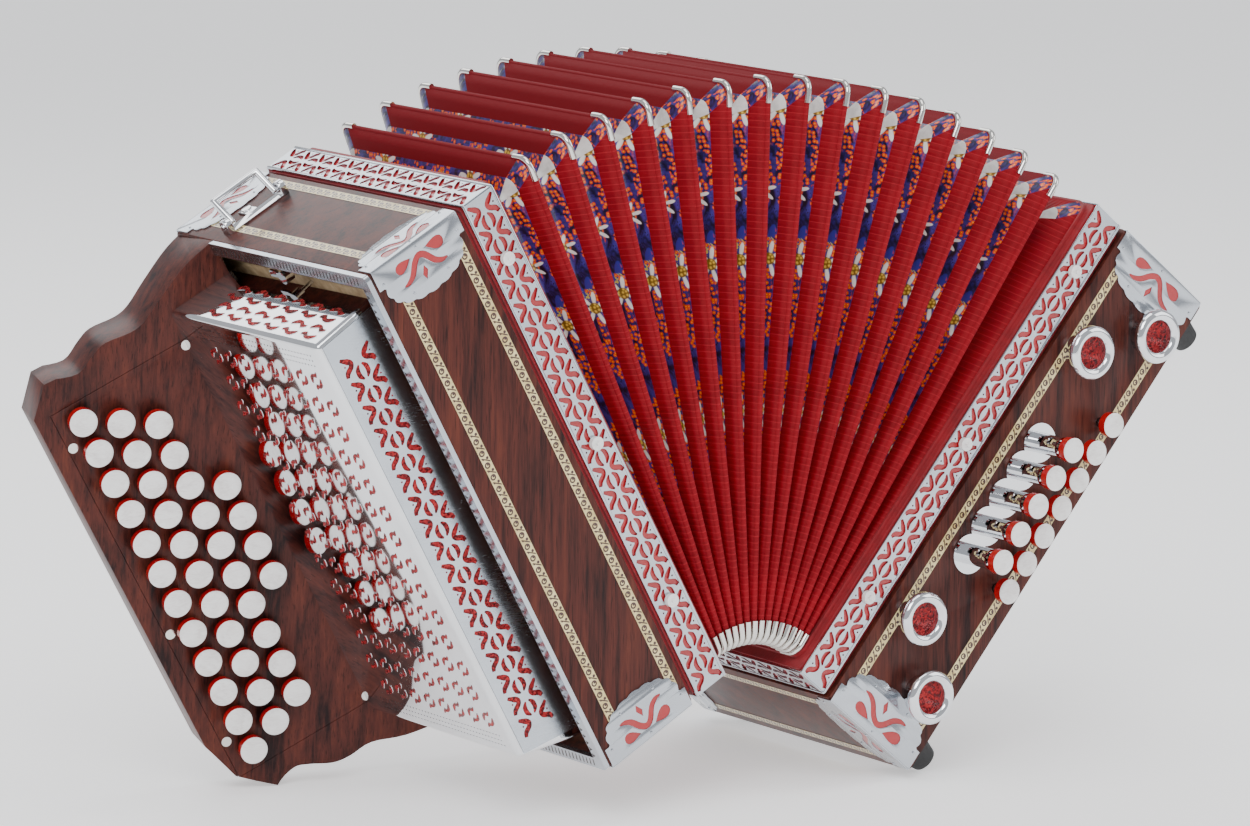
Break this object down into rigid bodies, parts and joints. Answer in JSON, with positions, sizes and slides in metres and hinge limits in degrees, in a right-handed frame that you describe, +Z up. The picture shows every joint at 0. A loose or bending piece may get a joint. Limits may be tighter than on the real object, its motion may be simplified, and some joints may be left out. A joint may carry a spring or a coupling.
{
  "type": "button accordion",
  "caption": "Diatonic button accordion standing with its bellows fanned open, with a buttoned fingerboard, pierced grille hood, sound horns and a folding strap bail.",
  "frame": {"origin": "centre of the bounding box on the surface that the fingerboard tip and the rubber feet stand on", "axes": "+Z up, +Y from the front face to the back, +X from the treble side to the bass side"},
  "size_m": [0.7042, 0.26, 0.4229],
  "materials": {
    "rosewood": "dark red-brown rosewood with darker streaks, clear gloss lacquer",
    "spruce": "plain unfinished softwood",
    "nickel": "bright nickel plate, embossed",
    "mirror_chrome": "mirror-bright chrome sheet, pierced",
    "pearl": "white mother-of-pearl celluloid, gloss",
    "red_cloth": "red glitter cloth",
    "red_leather": "deep red ribbed cloth tape over wood",
    "bellows": "card frame bound in deep red cloth tape, nickel corners at the crests",
    "rubber": "black rubber",
    "steel": "plain steel",
    "aluminium": "plain aluminium"
  },
  "bodies": {
    "treble_side": {"treble_casing": "rosewood", "treble_action_board": "spruce", "treble_edge_trim": "nickel", "treble_corner_plates": "nickel", "treble_reed_blocks": "spruce", "grille_hood": "mirror_chrome", "grille_cloth": "red_cloth", "grille_thumb_screw": "nickel", "fingerboard": "rosewood", "button_plate": "rosewood", "button_plate_screws": "nickel", "lever_axle": "steel", "bail_base": "nickel", "treble_bellows_frame": "red_leather", "treble_frame_band": "nickel", "treble_frame_pins": "pearl"},
    "treble_buttons_1": {"treble_buttons_row_1": "pearl"},
    "treble_levers_1": {"treble_levers_row_1": "aluminium"},
    "treble_buttons_2": {"treble_buttons_row_2": "pearl"},
    "treble_levers_2": {"treble_levers_row_2": "aluminium"},
    "treble_buttons_3": {"treble_buttons_row_3": "pearl"},
    "treble_levers_3": {"treble_levers_row_3": "aluminium"},
    "treble_buttons_4": {"treble_buttons_row_4": "pearl"},
    "treble_levers_4": {"treble_levers_row_4": "aluminium"},
    "strap_bail": {"strap_bail": "nickel"},
    "bellows_fold_01": {"bellows_fold_01": "bellows"},
    "bellows_fold_02": {"bellows_fold_02": "bellows"},
    "bellows_fold_03": {"bellows_fold_03": "bellows"},
    "bellows_fold_04": {"bellows_fold_04": "bellows"},
    "bellows_fold_05": {"bellows_fold_05": "bellows"},
    "bellows_fold_06": {"bellows_fold_06": "bellows"},
    "bellows_fold_07": {"bellows_fold_07": "bellows"},
    "bellows_fold_08": {"bellows_fold_08": "bellows"},
    "bellows_fold_09": {"bellows_fold_09": "bellows"},
    "bellows_fold_10": {"bellows_fold_10": "bellows"},
    "bellows_fold_11": {"bellows_fold_11": "bellows"},
    "bellows_fold_12": {"bellows_fold_12": "bellows"},
    "bellows_fold_13": {"bellows_fold_13": "bellows"},
    "bellows_fold_14": {"bellows_fold_14": "bellows"},
    "bellows_fold_15": {"bellows_fold_15": "bellows"},
    "bass_side": {"bass_casing": "rosewood", "bass_cover": "rosewood", "bass_corner_plates": "nickel", "bass_bellows_frame": "red_leather", "bass_frame_band": "nickel", "bass_frame_pins": "pearl", "sound_horns": "mirror_chrome", "horn_cloths": "red_cloth", "bass_button_sleeves": "nickel", "rubber_feet": "rubber", "bass_reed_block": "spruce"},
    "bass_button_outer_1": {"bass_button_outer_1": "pearl"},
    "bass_button_outer_2": {"bass_button_outer_2": "pearl"},
    "bass_button_outer_3": {"bass_button_outer_3": "pearl"},
    "bass_button_outer_4": {"bass_button_outer_4": "pearl"},
    "bass_button_outer_5": {"bass_button_outer_5": "pearl"},
    "bass_button_outer_6": {"bass_button_outer_6": "pearl"},
    "bass_button_outer_7": {"bass_button_outer_7": "pearl"},
    "bass_buttons_inner": {"bass_buttons_inner_row": "pearl"},
    "air_button": {"air_button": "pearl"}
  },
  "joints": [
    {"name": "bellows_hinge_01", "type": "hinge", "parent": "treble_side", "child": "bellows_fold_01", "pos_m": [-0.01022, 0.00697, 0.08731], "axis": [0, 1, 0], "range_deg": [-4.3, 0]},
    {"name": "bellows_hinge_02", "type": "hinge", "parent": "bellows_fold_01", "child": "bellows_fold_02", "pos_m": [-0.00659, 0.00697, 0.08897], "axis": [0, 1, 0], "range_deg": [-4.3, 0]},
    {"name": "bellows_hinge_03", "type": "hinge", "parent": "bellows_fold_02", "child": "bellows_fold_03", "pos_m": [-0.00284, 0.00697, 0.09036], "axis": [0, 1, 0], "range_deg": [-4.3, 0]},
    {"name": "bellows_hinge_04", "type": "hinge", "parent": "bellows_fold_03", "child": "bellows_fold_04", "pos_m": [0.00101, 0.00697, 0.09146], "axis": [0, 1, 0], "range_deg": [-4.3, 0]},
    {"name": "bellows_hinge_05", "type": "hinge", "parent": "bellows_fold_04", "child": "bellows_fold_05", "pos_m": [0.00493, 0.00697, 0.09227], "axis": [0, 1, 0], "range_deg": [-4.3, 0]},
    {"name": "bellows_hinge_06", "type": "hinge", "parent": "bellows_fold_05", "child": "bellows_fold_06", "pos_m": [0.00889, 0.00697, 0.09278], "axis": [0, 1, 0], "range_deg": [-4.3, 0]},
    {"name": "bellows_hinge_07", "type": "hinge", "parent": "bellows_fold_06", "child": "bellows_fold_07", "pos_m": [0.01289, 0.00697, 0.09299], "axis": [0, 1, 0], "range_deg": [-4.3, 0]},
    {"name": "bellows_hinge_08", "type": "hinge", "parent": "bellows_fold_07", "child": "bellows_fold_08", "pos_m": [0.01689, 0.00697, 0.09291], "axis": [0, 1, 0], "range_deg": [-4.3, 0]},
    {"name": "bellows_hinge_09", "type": "hinge", "parent": "bellows_fold_08", "child": "bellows_fold_09", "pos_m": [0.02087, 0.00697, 0.09252], "axis": [0, 1, 0], "range_deg": [-4.3, 0]},
    {"name": "bellows_hinge_10", "type": "hinge", "parent": "bellows_fold_09", "child": "bellows_fold_10", "pos_m": [0.02481, 0.00697, 0.09184], "axis": [0, 1, 0], "range_deg": [-4.3, 0]},
    {"name": "bellows_hinge_11", "type": "hinge", "parent": "bellows_fold_10", "child": "bellows_fold_11", "pos_m": [0.02869, 0.00697, 0.09086], "axis": [0, 1, 0], "range_deg": [-4.3, 0]},
    {"name": "bellows_hinge_12", "type": "hinge", "parent": "bellows_fold_11", "child": "bellows_fold_12", "pos_m": [0.03248, 0.00697, 0.0896], "axis": [0, 1, 0], "range_deg": [-4.3, 0]},
    {"name": "bellows_hinge_13", "type": "hinge", "parent": "bellows_fold_12", "child": "bellows_fold_13", "pos_m": [0.03617, 0.00697, 0.08805], "axis": [0, 1, 0], "range_deg": [-4.3, 0]},
    {"name": "bellows_hinge_14", "type": "hinge", "parent": "bellows_fold_13", "child": "bellows_fold_14", "pos_m": [0.03974, 0.00697, 0.08624], "axis": [0, 1, 0], "range_deg": [-4.3, 0]},
    {"name": "bellows_hinge_15", "type": "hinge", "parent": "bellows_fold_14", "child": "bellows_fold_15", "pos_m": [0.04315, 0.00697, 0.08416], "axis": [0, 1, 0], "range_deg": [-4.3, 0]},
    {"name": "bellows_hinge_bass", "type": "hinge", "parent": "bellows_fold_15", "child": "bass_side", "pos_m": [0.04641, 0.00697, 0.08183], "axis": [0, 1, 0], "range_deg": [-4.3, 0]},
    {"name": "treble_buttons_1_press", "type": "slide", "parent": "treble_side", "child": "treble_buttons_1", "axis": [0.234, 0.9636, 0.129], "range_m": [0, 0.0035], "stiffness_N_per_m": 400, "springref_m": -0.006},
    {"name": "treble_levers_1_turn", "type": "hinge", "parent": "treble_side", "child": "treble_levers_1", "pos_m": [-0.16858, 0.08111, 0.18498], "axis": [0.4829, 0, -0.8757], "range_deg": [0, 1.73]},
    {"name": "treble_buttons_2_press", "type": "slide", "parent": "treble_side", "child": "treble_buttons_2", "axis": [0.234, 0.9636, 0.129], "range_m": [0, 0.0035], "stiffness_N_per_m": 400, "springref_m": -0.006},
    {"name": "treble_levers_2_turn", "type": "hinge", "parent": "treble_side", "child": "treble_levers_2", "pos_m": [-0.16858, 0.08111, 0.18498], "axis": [0.4829, 0, -0.8757], "range_deg": [0, 2.07]},
    {"name": "treble_buttons_3_press", "type": "slide", "parent": "treble_side", "child": "treble_buttons_3", "axis": [0.234, 0.9636, 0.129], "range_m": [0, 0.0035], "stiffness_N_per_m": 400, "springref_m": -0.006},
    {"name": "treble_levers_3_turn", "type": "hinge", "parent": "treble_side", "child": "treble_levers_3", "pos_m": [-0.16858, 0.08111, 0.18498], "axis": [0.4829, 0, -0.8757], "range_deg": [0, 2.57]},
    {"name": "treble_buttons_4_press", "type": "slide", "parent": "treble_side", "child": "treble_buttons_4", "axis": [0.234, 0.9636, 0.129], "range_m": [0, 0.0035], "stiffness_N_per_m": 400, "springref_m": -0.006},
    {"name": "treble_levers_4_turn", "type": "hinge", "parent": "treble_side", "child": "treble_levers_4", "pos_m": [-0.16858, 0.08111, 0.18498], "axis": [0.4829, 0, -0.8757], "range_deg": [0, 3.39]},
    {"name": "strap_bail_swing", "type": "hinge", "parent": "treble_side", "child": "strap_bail", "pos_m": [-0.23119, 0.06297, 0.3503], "axis": [0.8757, 0, 0.4829], "range_deg": [0, 84]},
    {"name": "bass_button_outer_1_press", "type": "slide", "parent": "bass_side", "child": "bass_button_outer_1", "axis": [0, 1, 0], "range_m": [0, 0.003], "stiffness_N_per_m": 100, "springref_m": -0.006},
    {"name": "bass_button_outer_2_press", "type": "slide", "parent": "bass_side", "child": "bass_button_outer_2", "axis": [0, 1, 0], "range_m": [0, 0.003], "stiffness_N_per_m": 100, "springref_m": -0.006},
    {"name": "bass_button_outer_3_press", "type": "slide", "parent": "bass_side", "child": "bass_button_outer_3", "axis": [0, 1, 0], "range_m": [0, 0.003], "stiffness_N_per_m": 100, "springref_m": -0.006},
    {"name": "bass_button_outer_4_press", "type": "slide", "parent": "bass_side", "child": "bass_button_outer_4", "axis": [0, 1, 0], "range_m": [0, 0.003], "stiffness_N_per_m": 100, "springref_m": -0.006},
    {"name": "bass_button_outer_5_press", "type": "slide", "parent": "bass_side", "child": "bass_button_outer_5", "axis": [0, 1, 0], "range_m": [0, 0.003], "stiffness_N_per_m": 100, "springref_m": -0.006},
    {"name": "bass_button_outer_6_press", "type": "slide", "parent": "bass_side", "child": "bass_button_outer_6", "axis": [0, 1, 0], "range_m": [0, 0.003], "stiffness_N_per_m": 100, "springref_m": -0.006},
    {"name": "bass_button_outer_7_press", "type": "slide", "parent": "bass_side", "child": "bass_button_outer_7", "axis": [0, 1, 0], "range_m": [0, 0.003], "stiffness_N_per_m": 100, "springref_m": -0.006},
    {"name": "bass_buttons_inner_press", "type": "slide", "parent": "bass_side", "child": "bass_buttons_inner", "axis": [0, 1, 0], "range_m": [0, 0.003], "stiffness_N_per_m": 400, "springref_m": -0.006},
    {"name": "air_button_press", "type": "slide", "parent": "bass_side", "child": "air_button", "axis": [-0.7669, 0, 0.6418], "range_m": [0, 0.004], "stiffness_N_per_m": 200, "springref_m": -0.005}
  ],
  "couplings": [
    {"joint": "bellows_hinge_01", "follows": "bellows_hinge_bass", "ratio": 1},
    {"joint": "bellows_hinge_02", "follows": "bellows_hinge_bass", "ratio": 1},
    {"joint": "bellows_hinge_03", "follows": "bellows_hinge_bass", "ratio": 1},
    {"joint": "bellows_hinge_04", "follows": "bellows_hinge_bass", "ratio": 1},
    {"joint": "bellows_hinge_05", "follows": "bellows_hinge_bass", "ratio": 1},
    {"joint": "bellows_hinge_06", "follows": "bellows_hinge_bass", "ratio": 1},
    {"joint": "bellows_hinge_07", "follows": "bellows_hinge_bass", "ratio": 1},
    {"joint": "bellows_hinge_08", "follows": "bellows_hinge_bass", "ratio": 1},
    {"joint": "bellows_hinge_09", "follows": "bellows_hinge_bass", "ratio": 1},
    {"joint": "bellows_hinge_10", "follows": "bellows_hinge_bass", "ratio": 1},
    {"joint": "bellows_hinge_11", "follows": "bellows_hinge_bass", "ratio": 1},
    {"joint": "bellows_hinge_12", "follows": "bellows_hinge_bass", "ratio": 1},
    {"joint": "bellows_hinge_13", "follows": "bellows_hinge_bass", "ratio": 1},
    {"joint": "bellows_hinge_14", "follows": "bellows_hinge_bass", "ratio": 1},
    {"joint": "bellows_hinge_15", "follows": "bellows_hinge_bass", "ratio": 1},
    {"joint": "treble_levers_1_turn", "follows": "treble_buttons_1_press", "rad_per_m": 8.598},
    {"joint": "treble_levers_2_turn", "follows": "treble_buttons_2_press", "rad_per_m": 10.277},
    {"joint": "treble_levers_3_turn", "follows": "treble_buttons_3_press", "rad_per_m": 12.77},
    {"joint": "treble_levers_4_turn", "follows": "treble_buttons_4_press", "rad_per_m": 16.862}
  ]
}
